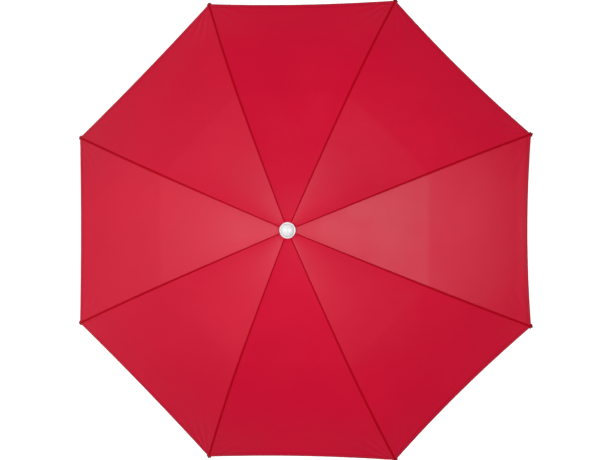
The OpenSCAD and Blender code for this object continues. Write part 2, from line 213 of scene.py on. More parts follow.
def shell(top, bottom):
    """Closed skin between two grids of points of the same shape: both faces and the edge around them."""
    rows, columns = top.shape[:2]
    count = rows * columns
    upper = quad_grid(rows, columns)
    lower = upper[:, ::-1] + count
    index = np.arange(count).reshape(rows, columns)
    edge = np.concatenate([index[0, :], index[1:, -1], index[-1, -2::-1], index[-2:0:-1, 0]])
    following = np.roll(edge, -1)
    rim = np.stack([following, edge, edge + count, following + count], -1)
    points = np.concatenate([top.reshape(-1, 3), bottom.reshape(-1, 3)])
    return points, np.concatenate([upper, lower, rim])


def outward(points, faces):
    """Turns the faces round if their signed volume, the sum of corner products, is negative."""
    points = np.asarray(points)
    first = points[[f[0] for f in faces]]
    volume = 0.0
    for k in range(1, 3):
        a = points[[f[k] for f in faces]]
        b = points[[f[min(k + 1, len(f) - 1)] for f in faces]]
        volume += np.einsum("ij,ij->i", first, np.cross(a, b)).sum()
    return [list(f)[::-1] for f in faces] if volume < 0 else [list(f) for f in faces]


def soften(outline, radius, steps=4):
    """Rounds the inner corners of an outline of (r, z): each corner becomes a quadratic curve that
    starts and ends the given radius away, or half way to the next corner."""
    outline = np.asarray(outline, float)
    out = [outline[0]]
    t = np.linspace(0, 1, steps + 1)[:, None]
    for before, corner, after in zip(outline[:-2], outline[1:-1], outline[2:]):
        a, b = before - corner, after - corner
        la, lb = np.linalg.norm(a), np.linalg.norm(b)
        start = corner + a / la * min(radius, la * 0.49)
        end = corner + b / lb * min(radius, lb * 0.49)
        out.extend((1 - t) ** 2 * start + 2 * t * (1 - t) * corner + t ** 2 * end)
    out.append(outline[-1])
    return np.array(out)


def turned(outline, sides=64, centre=(0, 0, 0), axis="Z", closed=False):
    """Surface of revolution: the outline of (r, z) turned about an axis through the centre. A point
    with no radius is a pole. closed joins the last point of the outline to the first, as on a ring."""
    outline = np.asarray(outline, float)
    angle = np.arange(sides) * math.tau / sides
    points, rings = [], []
    for r, z in outline:
        rings.append((sum(len(p) for p in points), 1 if r < 1e-7 else sides))
        ring = np.array([[0, 0, z]]) if r < 1e-7 else np.stack(
            [r * np.cos(angle), r * np.sin(angle), np.full(sides, z)], -1)
        points.append(ring)
    faces = []
    pairs = list(zip(rings, rings[1:] + rings[:1])) if closed else list(zip(rings, rings[1:]))
    k = np.arange(sides)
    n = (k + 1) % sides
    for (a, na), (b, nb) in pairs:
        if na == 1 and nb == 1:
            continue
        if na == 1:
            faces += np.stack([np.full(sides, a), b + n, b + k], -1).tolist()
        elif nb == 1:
            faces += np.stack([a + k, a + n, np.full(sides, b)], -1).tolist()
        else:
            faces += np.stack([a + k, a + n, b + n, b + k], -1).tolist()
    points = np.concatenate(points)
    order = {"Z": (0, 1, 2), "X": (2, 0, 1), "Y": (1, 2, 0)}[axis]
    points = points[:, order] + np.asarray(centre, float)
    return points, outward(points, faces)


def joined(*parts):
    """One set of points and faces from several."""
    points, faces, start = [], [], 0
    for p, f in parts:
        points.append(np.asarray(p, float))
        faces += [[i + start for i in face] for face in f]
        start += len(p)
    return np.concatenate(points), faces


def swept(path, radius, sides=12, closed=False):
    """Round bar along a path: rings of points about each path point, in the plane across the path,
    carried on from ring to ring; open ends close with a flat cap."""
    path = np.asarray(path, float)
    count = len(path)
    if closed:
        tangent = np.roll(path, -1, 0) - np.roll(path, 1, 0)
    else:
        tangent = np.gradient(path, axis=0)
    tangent /= np.linalg.norm(tangent, axis=1)[:, None]
    helper = np.array([0, 0, 1.0]) if abs(tangent[0][2]) < 0.9 else np.array([1.0, 0, 0])
    side = np.cross(tangent, helper)
    side /= np.linalg.norm(side, axis=1)[:, None]
    other = np.cross(tangent, side)
    angle = np.arange(sides) * math.tau / sides
    radius = np.broadcast_to(np.asarray(radius, float), (count,))
    ring = (np.cos(angle)[None, :, None] * side[:, None] + np.sin(angle)[None, :, None] * other[:, None])
    points = (path[:, None] + ring * radius[:, None, None]).reshape(-1, 3)
    faces = quad_grid(count, sides, closed=True).tolist()
    if closed:
        k = np.arange(sides)
        n = (k + 1) % sides
        last = (count - 1) * sides
        faces += np.stack([last + k, last + n, n, k], -1).tolist()
    else:
        faces += [list(range(sides))[::-1], list(range((count - 1) * sides, count * sides))]
    return points, outward(points, faces)


def at_azimuth(points, azimuth):
    """Points drawn for a rib on +X, turned about the pole to an azimuth."""
    c, s = math.cos(azimuth), math.sin(azimuth)
    points = np.asarray(points, float)
    return np.stack([points[..., 0] * c - points[..., 1] * s,
                     points[..., 0] * s + points[..., 1] * c, points[..., 2]], -1)


def rib_azimuth(i):
    """Azimuth of rib i."""
    return HALF_GORE + (i - 1) * RIB_STEP


# ---------------------------------------------------------------- cloth

def rib_height(radius, cloth):
    """Height of a rib's centre line: two arcs, each falling rho * (cos a - cos s), where the sine of
    the slope s grows evenly with the radius, and a straight line past the rib's end."""
    inner = cloth.joint_radius - HINGE_RING_R
    end = cloth.radius - 0.0054 * math.cos(cloth.tip_slope)
    outer = end - cloth.joint_radius

    def fall(run, length, a, b):
        rho = length / (math.sin(b) - math.sin(a))
        slope = np.arcsin(np.clip(math.sin(a) + run / rho, -1, 1))
        return rho * (math.cos(a) - np.cos(slope))

    radius = np.asarray(radius, float)
    first = fall(np.clip(radius - HINGE_RING_R, -0.02, inner), inner, cloth.crown_slope,
                 cloth.joint_slope_in)
    second = fall(np.clip(radius - cloth.joint_radius, 0, outer), outer, cloth.joint_slope_out,
                  cloth.tip_slope)
    return CROWN_Z - first - second - np.maximum(radius - end, 0) * math.tan(cloth.tip_slope)


def hem_radius(across, cloth):
    """Radius at which the hem lies, scaled to the rib: it dips by a parabola between two ribs."""
    return cloth.radius - cloth.hem_inset - cloth.hem_dip * (1 - (1 - across) ** 2)


def cloth_point(radius, across, side, cloth, raised=0.0):
    """A point of the half gore beside a rib on +X. across runs from 0 over the rib to 1 at the middle
    of the gore, on a straight line between equal radii of two ribs. A parabola w = 1 - (1 - across)^2
    makes the gore sag half way out and arch up at the hem, where it is pulled tight between the tips.
    Fine puckers run into the seam, and tension folds fan out from the tip."""
    radius, across = np.broadcast_arrays(np.asarray(radius, float), np.asarray(across, float))
    s2, sc = math.sin(HALF_GORE) ** 2, math.sin(HALF_GORE) * math.cos(HALF_GORE)
    x = radius * (1 - across * s2)
    y = side * radius * across * sc
    reach = radius / cloth.radius
    z = rib_height(radius, cloth) + cloth.lift
    crown_ease = np.clip((0.040 - radius) / 0.020, 0, 1)
    tip_ease = np.clip((radius - 0.700) / 0.030, 0, 1)
    z = z + crown_ease ** 2 * 0.0022 + tip_ease ** 2 * (3 - 2 * tip_ease) * 0.0012
    w = 1 - (1 - across) ** 2
    z = z + w * (cloth.arch * np.clip((reach - 0.42) / 0.58, 0, 1.02) ** 2 - cloth.sag * 4 * reach * (1 - reach))
    lateral = radius * across * sc
    pucker = np.sin(radius * 290 + side * 1.3) + 0.6 * np.sin(radius * 173 + side * 2.1)
    z = z + 0.00022 * pucker * np.exp(-lateral / 0.013) * (1 - np.exp(-lateral / 0.003)) * reach
    from_tip = np.hypot(cloth.radius - radius, lateral)
    fan = np.arctan2(lateral, cloth.radius - radius + 1e-4)
    fold = np.sin(fan * 17 + side) * np.exp(-((from_tip - 0.055) / 0.05) ** 2)
    z = z + 0.00055 * fold * np.clip(fan * 2.2, 0, 1) * np.clip((1.57 - fan) * 3, 0, 1)
    return np.stack([x, y, z + raised], -1)


def across_grid(columns):
    """Positions across half a gore, closer together beside the seam."""
    t = np.linspace(0, 1, columns)
    return 0.45 * t + 0.55 * t ** 2


def folded_under(inward, cloth):
    """1 on the turned hem and 0 inside it, with a soft step between them."""
    return (1 - np.tanh((inward - cloth.hem_width) / 0.0012)) / 2


def hem_raise(radius, hem, cloth):
    """Height of the turned hem: it steps up where the cloth is folded under and rounds off at the edge."""
    inward = hem - radius
    step = folded_under(inward, cloth)
    edge = np.clip(inward / 0.0012, 0, 1)
    return 0.00045 * step - 0.0009 * (1 - edge) ** 2


def cut_uv(points, azimuth_in_frame):
    """Place on the flat cut: along and across the middle of the gore, in metres."""
    c, s = math.cos(azimuth_in_frame), math.sin(azimuth_in_frame)
    return np.stack([points[..., 0] * c + points[..., 1] * s,
                     -points[..., 0] * s + points[..., 1] * c], -1)


def half_gore(side, cloth):
    """Top and bottom grids of a half gore beside a rib on +X, and how much painted shade each point gets
    at the hem: rows go from the crown to the hem."""
    across = across_grid(cloth.columns)[None, :]
    t = np.linspace(0, 1, cloth.rows)
    fine = np.where(t < 0.9, t / 0.9 * 0.965, 0.965 + (t - 0.9) / 0.1 * 0.035)[:, None]
    hem = hem_radius(across, cloth)
    radius = cloth.start_radius + (hem - cloth.start_radius) * fine
    raised = hem_raise(radius, hem, cloth)
    top = cloth_point(radius, across, side, cloth, raised)
    extra = 0.0005 * folded_under(hem - radius, cloth)
    bottom = cloth_point(radius, across, side, cloth, raised - cloth.thickness - extra)
    inward = hem - radius
    # Painted shade: dark lines at the rolled edge of the hem, at the fold of the turned hem and along its stitch
    # line.
    edge = np.clip(np.exp(-(inward / 0.0022) ** 2) + 0.45 * np.exp(-((inward - cloth.hem_width) / 0.0010) ** 2)
                   + 0.30 * np.exp(-((inward - cloth.hem_width + 0.0022) / 0.0007) ** 2), 0, 1)
    return top, bottom, edge


def make_gores(cloth, material):
    """Sixteen half gores: each rides on its rib."""
    made = []
    for i in range(1, RIB_COUNT + 1):
        azimuth = rib_azimuth(i)
        for side, word in ((1, "left"), (-1, "right")):
            top, bottom, edge = half_gore(side, cloth)
            points, faces = shell(top, bottom)
            faces = outward(points, faces)
            uv = cut_uv(points, side * HALF_GORE) + np.array([0.0, 0.31 * i])
            piece = add_piece(f"gore_{i}_{word}", at_azimuth(points, azimuth), faces, material,
                              f"rib_arm_{i}", uv=uv, slot="canopy_cloth", sharp=60,
                              edge=np.concatenate([edge.ravel(), edge.ravel()]))
            if side == 1:
                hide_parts(f"canopy_{i}")
            gather(piece)
            made.append(piece)
    return made


def gather(piece):
    """Gives a cloth piece its own copy of its mesh."""
    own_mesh(piece)


def make_seams(cloth, material):
    """Felled seam over each rib: a low ridge, rounded across, that widens a little to the hem."""
    rows, columns = 220, 15
    radius = np.linspace(cloth.start_radius, cloth.radius - cloth.hem_inset + 0.0006, rows)[:, None]
    u = np.linspace(-1, 1, columns)[None, :]
    width = cloth.seam_width * (0.50 + 0.50 * np.clip((radius - 0.05) / 0.4, 0, 1)) / 2
    lateral = u * width
    across = np.abs(lateral) / (radius * math.sin(HALF_GORE) * math.cos(HALF_GORE))
    hem = hem_radius(across, cloth)
    base = cloth_point(radius, across, np.sign(lateral) + (lateral == 0), cloth,
                       hem_raise(np.minimum(radius, hem), hem, cloth))
    ridge = 0.00055 * (1 - np.abs(u) ** 4) - 0.00015 * np.exp(-((np.abs(u) - 0.18) / 0.08) ** 2)
    ripple = 0.00010 * np.sin(radius * 900) * (1 - u ** 2)
    top = base + np.stack([0 * lateral, 0 * lateral, ridge + ripple + 0 * radius], -1)
    bottom = base - np.array([0, 0, 0.0011])
    for i in range(1, RIB_COUNT + 1):
        points, faces = shell(top, bottom)
        points = at_azimuth(points, rib_azimuth(i))
        uv = np.stack([np.tile((radius + 0 * u).ravel(), 2), np.tile((lateral + 0 * radius).ravel(), 2)], -1)
        seam = add_piece(f"seam_{i}", points, outward(points, faces), material, f"rib_arm_{i}", uv=uv,
                         slot="canopy_cloth", sharp=60)


def stitch_shape():
    """One sewing stitch 1 mm long: a low six-sided bead that dives into the cloth at both ends."""
    x = np.linspace(-0.5, 0.5, 5)
    swell = np.sqrt(np.clip(1 - (2 * x) ** 2, 0.02, 1))
    angle = np.arange(6) * math.tau / 6
    points = np.stack([np.repeat(x, 6), (0.10 * swell[:, None] * np.cos(angle)).ravel(),
                       (0.07 * swell[:, None] * np.sin(angle) + 0.06 * (swell[:, None] - 0.6)).ravel()], -1)
    faces = quad_grid(5, 6, closed=True).tolist() + [list(range(6))[::-1], list(range(24, 30))]
    return points, outward(points, faces)


def stitches(centres, ahead, up, length):
    """Copies of one stitch at many centres: its x axis lies ahead and its z axis points up."""
    shape, faces = stitch_shape()
    ahead = ahead / np.linalg.norm(ahead, axis=1)[:, None]
    sideways = np.cross(up, ahead)
    sideways /= np.linalg.norm(sideways, axis=1)[:, None]
    normal = np.cross(ahead, sideways)
    shape = shape * length
    points = (centres[:, None] + shape[None, :, 0, None] * ahead[:, None]
              + shape[None, :, 1, None] * sideways[:, None] + shape[None, :, 2, None] * normal[:, None])
    faces = np.concatenate([[np.pad(f, (0, 6 - len(f)), constant_values=-1) for f in faces]])
    count = len(shape)
    every = faces[None] + (np.arange(len(centres)) * count)[:, None, None]
    every = np.where(faces[None] < 0, -1, every).reshape(-1, 6)
    return points.reshape(-1, 3), [[i for i in f if i >= 0] for f in every.tolist()]


def make_stitching(cloth, material):
    """Two rows of stitches on each seam, and one row along each half hem."""
    pitch = 0.0036
    radius = np.arange(cloth.start_radius + 0.010, cloth.radius - 0.012, pitch)
    rows = []
    for side in (-1, 1):
        lateral = side * cloth.seam_width * 0.30 * (0.50 + 0.50 * np.clip((radius - 0.05) / 0.4, 0, 1))
        across = np.abs(lateral) / (radius * math.sin(HALF_GORE) * math.cos(HALF_GORE))
        centre = cloth_point(radius, across, side, cloth, 0.00066)
        rows.append((centre, np.gradient(centre, axis=0)))
    up = np.array([0, 0, 1.0])
    for i in range(1, RIB_COUNT + 1):
        azimuth = rib_azimuth(i)
        parts = [stitches(at_azimuth(c, azimuth), at_azimuth(a, azimuth), up, 0.0026) for c, a in rows]
        points, faces = joined(*parts)
        add_piece(f"seam_stitching_{i}", points, faces, material, f"rib_arm_{i}", slot="canopy_cloth")
        for side, word in ((1, "left"), (-1, "right")):
            half = cloth.radius * math.sin(HALF_GORE)
            across = (np.arange(0.010, half - 0.001, pitch) / half)
            hem = hem_radius(across, cloth) - cloth.hem_width + 0.0022
            centre = cloth_point(hem, across, side, cloth, 0.00044)
            points, faces = stitches(at_azimuth(centre, azimuth),
                                     at_azimuth(np.gradient(centre, axis=0), azimuth), up, 0.0026)
            piece = add_piece(f"hem_stitching_{i}_{word}", points, faces, material, f"rib_arm_{i}",
                              slot="canopy_cloth")
            gather(piece)


def make_patch(cloth, material):
    """Reinforcing disc of cloth over the inner ends of the gores: flat under the cap, then following
    the gores. A point (rho, phi) lies on the line between two ribs at s = tan phi / (b + a tan phi)."""
    rows, sides = 22, 192
    outer = 0.0275
    rho = np.linspace(0.0101, outer, rows)[:, None]
    turn = np.arange(sides)[None, :] * math.tau / sides
    phi = np.abs((turn + HALF_GORE) % RIB_STEP - HALF_GORE)
    a, b = math.sin(HALF_GORE) ** 2, math.sin(HALF_GORE) * math.cos(HALF_GORE)
    s = np.tan(phi) / (b + a * np.tan(phi))
    along = rho * np.cos(phi) / (1 - s * a)
    gore = cloth_point(along, np.clip(s, 0, 1), 1, cloth)[..., 2] + 0.0006 + 0.0006 * np.exp(-(phi / 0.12) ** 2)
    flat = CROWN_Z + 0.0072
    blend = np.clip((rho - 0.0215) / 0.0035, 0, 1)
    blend = blend ** 2 * (3 - 2 * blend)
    z = flat * (1 - blend) + gore * blend + 0 * turn
    turned_to = turn + HALF_GORE
    top = np.stack([rho * np.cos(turned_to), rho * np.sin(turned_to), z], -1)
    count = rows * sides
    upper = quad_grid(rows, sides, closed=True)
    k = np.arange(sides)
    n = (k + 1) % sides
    inner = np.stack([k, n, n + count, k + count], -1)
    last = (rows - 1) * sides
    rim = np.stack([last + n, last + k, last + k + count, last + n + count], -1)
    bottom = top - np.array([0, 0, cloth.thickness])
    points = np.concatenate([top.reshape(-1, 3), bottom.reshape(-1, 3)])
    faces = np.concatenate([upper, upper[:, ::-1] + count, inner, rim])
    patch = add_piece("crown_patch", points, outward(points, faces), material, "head",
                      uv=points[:, :2], slot="canopy_cloth", sharp=60)


def tip_frame(cloth):
    """End of a rib on +X: the point where its wire stops, the direction it points in, and up from it."""
    end = cloth.radius - 0.0054 * math.cos(cloth.tip_slope)
    origin = np.array([end, 0, float(rib_height(end, cloth))])
    ahead = np.array([math.cos(cloth.tip_slope), 0, -math.sin(cloth.tip_slope)])
    up = np.array([math.sin(cloth.tip_slope), 0, math.cos(cloth.tip_slope)])
    return origin, ahead, up


def make_pockets(cloth, material, thread):
    """Pocket of cloth at each corner: a sleeve, oval across, that the rib's end is pushed into. Its
    half width and height shrink towards the open end, and it flattens against the gores above it."""
    origin, ahead, up = tip_frame(cloth)
    rows, sides = 26, 40
    t = np.linspace(-0.026, -0.0005, rows)[:, None]
    turn = np.arange(sides)[None, :] * math.tau / sides
    open_end = np.clip((-0.020 - t) / 0.006, 0, 1)
    half_width = 0.0062 + 0.0012 * np.clip((t + 0.026) / 0.026, 0, 1) - 0.0006 * open_end
    half_height = 0.0034 + 0.0003 * np.sin((t + 0.026) * 300) - 0.0002 * open_end
    power = 0.72
    c, s = np.cos(turn), np.sin(turn)
    w = half_width * np.sign(c) * np.abs(c) ** power
    h = half_height * np.sign(s) * np.abs(s) ** power
    crease = 0.0002 * np.sin(turn * 5 + t * 400)
    outer = (origin + t[..., None] * ahead + (w + crease * c)[..., None] * np.array([0, 1.0, 0])
             + (h + crease * s)[..., None] * up)
    inner = (origin + t[..., None] * ahead + ((w - 0.0005 * c))[..., None] * np.array([0, 1.0, 0])
             + ((h - 0.0005 * s))[..., None] * up)
    count = rows * sides
    skin = quad_grid(rows, sides, closed=True)
    k = np.arange(sides)
    n = (k + 1) % sides
    last = (rows - 1) * sides
    ends = np.concatenate([np.stack([k, n, n + count, k + count], -1),
                           np.stack([last + n, last + k, last + k + count, last + n + count], -1)])
    points = np.concatenate([outer.reshape(-1, 3), inner.reshape(-1, 3)])
    faces = np.concatenate([skin, skin[:, ::-1] + count, ends])
    uv = np.stack([np.tile((t + 0 * turn).ravel(), 2), np.tile((turn * 0.006 + 0 * t).ravel(), 2)], -1)
    flank = np.linspace(-0.024, -0.003, 8)
    for i in range(1, RIB_COUNT + 1):
        turned_points = at_azimuth(points, rib_azimuth(i))
        pocket = add_piece(f"corner_pocket_{i}", turned_points, outward(turned_points, faces), material,
                           f"rib_arm_{i}", uv=uv, slot="canopy_cloth", sharp=50)
        parts = []
        for y in (-0.0061, 0.0061):
            centre = origin + flank[:, None] * ahead + np.array([0, y, 0]) - 0.0022 * up
            centre = at_azimuth(centre, rib_azimuth(i))
            outwards = at_azimuth(np.array([0, math.copysign(1, y), 0.0]), rib_azimuth(i))
            parts.append(stitches(centre, np.gradient(centre, axis=0), outwards, 0.0022))
        add_piece(f"pocket_stitching_{i}", *joined(*parts), thread, f"rib_arm_{i}", slot="canopy_cloth")


# ---------------------------------------------------------------- frame fittings

def eased(node, width, material, dissolve=0.4, segments=2):
    """Copy of a node's shape with its sharp edges rounded to a width, which stands for the node."""
    import bmesh
    source = frame["nodes"][node]
    body = source["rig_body"]
    shape = bmesh.new()
    shape.from_mesh(source.data)
    bmesh.ops.remove_doubles(shape, verts=shape.verts, dist=2e-6)
    bmesh.ops.dissolve_limit(shape, angle_limit=math.radians(dissolve), verts=shape.verts,
                             edges=shape.edges)
    mesh = bpy.data.meshes.new(node + "_eased")
    shape.to_mesh(mesh)
    shape.free()
    mesh.materials.clear()
    mesh.materials.append(material)
    while mesh.uv_layers:
        mesh.uv_layers.remove(mesh.uv_layers[0])
    piece = bpy.data.objects.new(node + "_body", mesh)
    bpy.context.scene.collection.objects.link(piece)
    bevel = piece.modifiers.new("edges", "BEVEL")
    bevel.width = width
    bevel.segments = segments
    bevel.limit_method = "ANGLE"
    bevel.angle_limit = math.radians(35)
    bevel.use_clamp_overlap = True
    bevel.harden_normals = False
    bpy.context.view_layer.update()
    finished = bpy.data.meshes.new_from_object(piece.evaluated_get(bpy.context.evaluated_depsgraph_get()))
    piece.modifiers.clear()
    piece.data = finished
    finished.polygons.foreach_set("use_smooth", np.ones(len(finished.polygons), bool))
    finished.set_sharp_from_angle(angle=math.radians(32))
    finished.update()
    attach(piece, body)
    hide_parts(node)
    return piece


def finish_node(node, material):
    """Gives a node of the frame its material."""
    mesh = frame["nodes"][node].data
    mesh.materials.clear()
    mesh.materials.append(material)


def make_cap(material):
    """Cap: a dome over a thin flange with a rounded edge, and a moulding step between them."""
    z0 = CAP_LOW.z + 0.009
    r = CAP_HIGH.x
    t = np.linspace(0, 1, 22)[1:-1]
    dome_r, dome_h = 0.0192, TOP_Z - z0 - 0.0043
    dome = np.stack([dome_r * np.sin(t * math.pi / 2), z0 + 0.0043 + dome_h * np.cos(t * math.pi / 2)], -1)
    outline = np.concatenate([
        soften([(0.0097, z0 + 0.0016), (r - 0.0016, z0 + 0.0016), (r - 0.0012, z0), (r, z0 + 0.0002),
                (r, z0 + 0.0022), (r - 0.0009, z0 + 0.0031), (0.0203, z0 + 0.0037)], 0.0005),
        soften([(0.0199, z0 + 0.0034), (0.01935, z0 + 0.0036), (dome_r, z0 + 0.0043)], 0.0003),
        dome[::-1], [(0, TOP_Z)]])
    points, faces = turned(outline, 96)
    under, under_faces = turned([(0, z0 + 0.0046), (0.0097, z0 + 0.0046), (0.0097, z0 + 0.0016)], 96)
    cap = add_piece("cap_moulding", *joined((points, faces), (under, under_faces)), material, "head",
                    slot="white_cap", sharp=40)
    gate_r = 0.0016
    gate, gate_faces = turned([(0, TOP_Z + 0.00035), (gate_r * 0.7, TOP_Z + 0.0003), (gate_r, TOP_Z - 0.0004)], 32)
    add_piece("cap_gate_mark", gate, gate_faces, material, "head", slot="white_cap")
    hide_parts("cap")


def make_tips(cloth, material):
    """Moulded tip on each rib: a sleeve with a collar and a rounded nose, turned about the rib's end."""
    origin, ahead, up = tip_frame(cloth)
    t = np.linspace(0, 1, 12)
    nose = np.stack([0.0033 * np.cos(t * math.pi / 2), 0.0022 + 0.0032 * np.sin(t * math.pi / 2)], -1)
    outline = np.concatenate([
        soften([(0.00185, -0.0090), (0.0028, -0.0090), (0.0030, -0.0084), (0.0030, -0.0012),
                (0.0036, -0.0004), (0.0036, 0.0009), (0.0031, 0.0014), (0.0033, 0.0022)], 0.0005),
        nose[1:]])
    outline[-1, 0] = 0
    points, faces = turned(outline, 40)
    side = np.array([0, 1.0, 0])
    placed = origin + points[:, 2:3] * ahead + points[:, 0:1] * up + points[:, 1:2] * side
    for i in range(1, RIB_COUNT + 1):
        turned_points = at_azimuth(placed, rib_azimuth(i))
        tip = add_piece(f"tip_moulding_{i}", turned_points, outward(turned_points, faces), material,
                        f"rib_arm_{i}", slot="dark_tip")
        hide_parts(f"rib_tip_{i}")


def make_tube(name, outline, material, body, node):
    """Tube: a closed outline turned about the pole."""
    points, faces = turned(outline, 72, closed=True)
    piece = add_piece(name, points, faces, material, body, slot="white_tube", sharp=35)
    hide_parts(node)
    return piece


def make_poles(material):
    """Lower and middle poles with rolled ends. The lower one is drawn in where the collar holds it."""
    low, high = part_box("lower_pole")
    r, bore, neck = high.x, 0.0099, high.x - 0.0004
    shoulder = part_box("clamp_collar")[0].z
    outline = soften([(bore + 0.0001, low.z), (r - 0.0005, low.z), (r, low.z + 0.0008), (r, shoulder - 0.001),
                      (neck, shoulder + 0.001), (neck, high.z - 0.0004), (neck - 0.0003, high.z),
                      (bore + 0.0002, high.z), (bore, high.z - 0.0006), (bore, low.z + 0.001)], 0.0004)
    make_tube("lower_tube", outline, material, "lower_stage", "lower_pole")
    low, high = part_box("middle_pole")
    r, bore = high.x, high.x - 0.001
    outline = soften([(bore + 0.0001, low.z), (r - 0.0004, low.z), (r, low.z + 0.0006), (r, high.z - 0.0006),
                      (r - 0.0004, high.z), (bore + 0.0001, high.z), (bore, high.z - 0.0004),
                      (bore, low.z + 0.0004)], 0.0003)
    make_tube("middle_tube", outline, material, "middle_stage", "middle_pole")


def make_knob(material):
    """Clamp knob: a six-lobed disc. Its radius is scaled by 1 - d (1 - cos 6a) / 2, weighted by the
    square of the radius, so the hub stays round; its face is dished around a raised centre."""
    low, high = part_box("clamp_knob")
    centre = (low + high) / 2
    r, h = (high.z - low.z) / 2, high.x - low.x - 0.0015
    outline = soften([(0, 0), (r - 0.0022, 0), (r, 0.0018), (r, h - 0.0020), (r - 0.0022, h),
                      (r * 0.80, h), (r * 0.66, h - 0.0026), (r * 0.38, h - 0.0026), (r * 0.30, h - 0.0006),
                      (0, h - 0.0002)], 0.0014, 6)
    sides = 192
    points, faces = turned(outline, sides)
    radius = np.hypot(points[:, 0], points[:, 1])
    angle = np.arctan2(points[:, 1], points[:, 0])
    lobe = 1 - 0.13 * ((1 - np.cos(6 * angle)) / 2) ** 1.6 * (radius / r) ** 2
    points[:, 0] *= lobe
    points[:, 1] *= lobe
    placed = np.stack([points[:, 2] + low.x + 0.0015, points[:, 1] + centre.y, points[:, 0] + centre.z], -1)
    hub, hub_faces = turned(soften([(0.0031, low.x), (0.0066, low.x), (0.0070, low.x + 0.0005),
                                    (0.0070, low.x + 0.0022)], 0.0004), 48, (0, centre.y, centre.z), "X")
    knob = add_piece("knob_moulding", *joined((placed, outward(placed, faces)), (hub, hub_faces)), material,
                     "clamp", slot="white_moulding", sharp=40)
    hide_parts("clamp_knob")


def make_screw(material):
    """Clamp screw: a helical thread. Its radius rises and falls by a rounded wave along the axis that
    turns once with every pitch of the thread."""
    low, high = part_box("clamp_screw")
    centre = (low + high) / 2
    r, pitch, sides = (high.z - low.z) / 2, 0.00125, 48
    x = np.arange(low.x, high.x - 0.0006, pitch / 8)
    angle = np.arange(sides) * math.tau / sides
    wave = (1 - np.cos(math.tau * x[:, None] / pitch - angle[None, :])) / 2
    radius = r - 0.00045 * wave
    radius[0] = r - 0.0010
    radius[-1] = r - 0.0010
    points = np.stack([x[:, None] + 0 * angle, centre.y + radius * np.cos(angle),
                       centre.z + radius * np.sin(angle)], -1).reshape(-1, 3)
    faces = quad_grid(len(x), sides, closed=True).tolist()
    faces += [list(range(sides)), list(range((len(x) - 1) * sides, len(x) * sides))[::-1]]
    screw = add_piece("screw_thread", points, outward(points, faces), material, "clamp", slot="bright_steel",
                      sharp=60)
    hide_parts("clamp_screw")


def make_rings(material):
    """Rings of wire that the eyes of the ribs and stretchers turn on."""
    turn = np.arange(128) * math.tau / 128
    for name, z, body in (("crown_ring", CROWN_Z, "head"), ("runner_ring", RUNNER_HIGH.z - 0.006, "runner")):
        path = np.stack([HINGE_RING_R * np.cos(turn), HINGE_RING_R * np.sin(turn), np.full(128, z)], -1)
        ring = add_piece(name, *swept(path, 0.001, 12, closed=True), material, body, slot="bright_steel")
        if body == "head":
            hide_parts("crown_wire")


def make_spring(material):
    """Return spring of the tilt button: a helix with closed end turns."""
    low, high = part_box("tilt_spring")
    centre = (low + high) / 2
    wire = 0.00036
    t = np.linspace(0, 1, 260)
    rise = np.interp(t, [0, 0.14, 0.86, 1], [0, 0.09, 0.91, 1])
    angle = t * math.tau * 6
    coil = (high.x - low.x) / 2 - wire
    y = low.y + wire + (high.y - low.y - 2 * wire) * rise
    path = np.stack([centre.x + coil * np.cos(angle), y, centre.z + coil * np.sin(angle)], -1)
    spring = add_piece("spring_coil", *swept(path, wire, 10), material, "head", slot="bright_steel")
    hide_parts("tilt_spring")
    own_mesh(spring)


def make_runner_detail(material):
    """Grip rings on the runner's sleeve: rounded ribs between its grooves."""
    z0 = RUNNER_LOW.z
    parts = []
    for k in range(1, 4):
        z = z0 + 0.006 * (k + 0.5)
        outline = soften([(0.0137, z - 0.0016), (0.0146, z - 0.0012), (0.0146, z + 0.0012), (0.0137, z + 0.0016)],
                         0.0006)
        parts.append(turned(outline, 64, closed=True))
    add_piece("runner_grip", *joined(*parts), material, "runner", slot="white_moulding")


# ---------------------------------------------------------------- materials

def start_material(name, colour, roughness, metallic=0.0, specular=0.5):
    """Material with a principled shader; returns it with its node tree and shader."""
    material = bpy.data.materials.new(name)
    material.use_nodes = True
    tree = material.node_tree
    tree.nodes.clear()
    output = tree.nodes.new("ShaderNodeOutputMaterial")
    shader = tree.nodes.new("ShaderNodeBsdfPrincipled")
    shader.inputs["Base Color"].default_value = (*colour, 1)
    shader.inputs["Roughness"].default_value = roughness
    shader.inputs["Metallic"].default_value = metallic
    shader.inputs["Specular IOR Level"].default_value = specular
    tree.links.new(shader.outputs["BSDF"], output.inputs["Surface"])
    material.diffuse_color = (*colour, 1)
    return material, tree, shader


def noise(tree, scale, detail=3.0, coordinates="Object", stretch=None):
    """Noise texture on an object's own coordinates or its cut."""
    place = tree.nodes.new("ShaderNodeTexCoord")
    texture = tree.nodes.new("ShaderNodeTexNoise")
    texture.inputs["Scale"].default_value = scale
    texture.inputs["Detail"].default_value = detail
    source = place.outputs[coordinates]
    if stretch:
        mapping = tree.nodes.new("ShaderNodeMapping")
        mapping.inputs["Scale"].default_value = stretch
        tree.links.new(source, mapping.inputs["Vector"])
        source = mapping.outputs["Vector"]
    tree.links.new(source, texture.inputs["Vector"])
    return texture.outputs["Fac"]


def between(tree, factor, low, high):
    """Maps a factor of 0 to 1 to a range."""
    mapped = tree.nodes.new("ShaderNodeMapRange")
    mapped.inputs["From Min"].default_value = 0.3
    mapped.inputs["From Max"].default_value = 0.7
    mapped.inputs["To Min"].default_value = low
    mapped.inputs["To Max"].default_value = high
    tree.links.new(factor, mapped.inputs["Value"])
    return mapped.outputs["Result"]


def mixed(tree, factor, first, second):
    """Mixes two colours by a factor."""
    mix = tree.nodes.new("ShaderNodeMix")
    mix.data_type = "RGBA"
    mix.inputs[6].default_value = (*first, 1)
    mix.inputs[7].default_value = (*second, 1)
    tree.links.new(factor, mix.inputs[0])
    return mix.outputs[2]


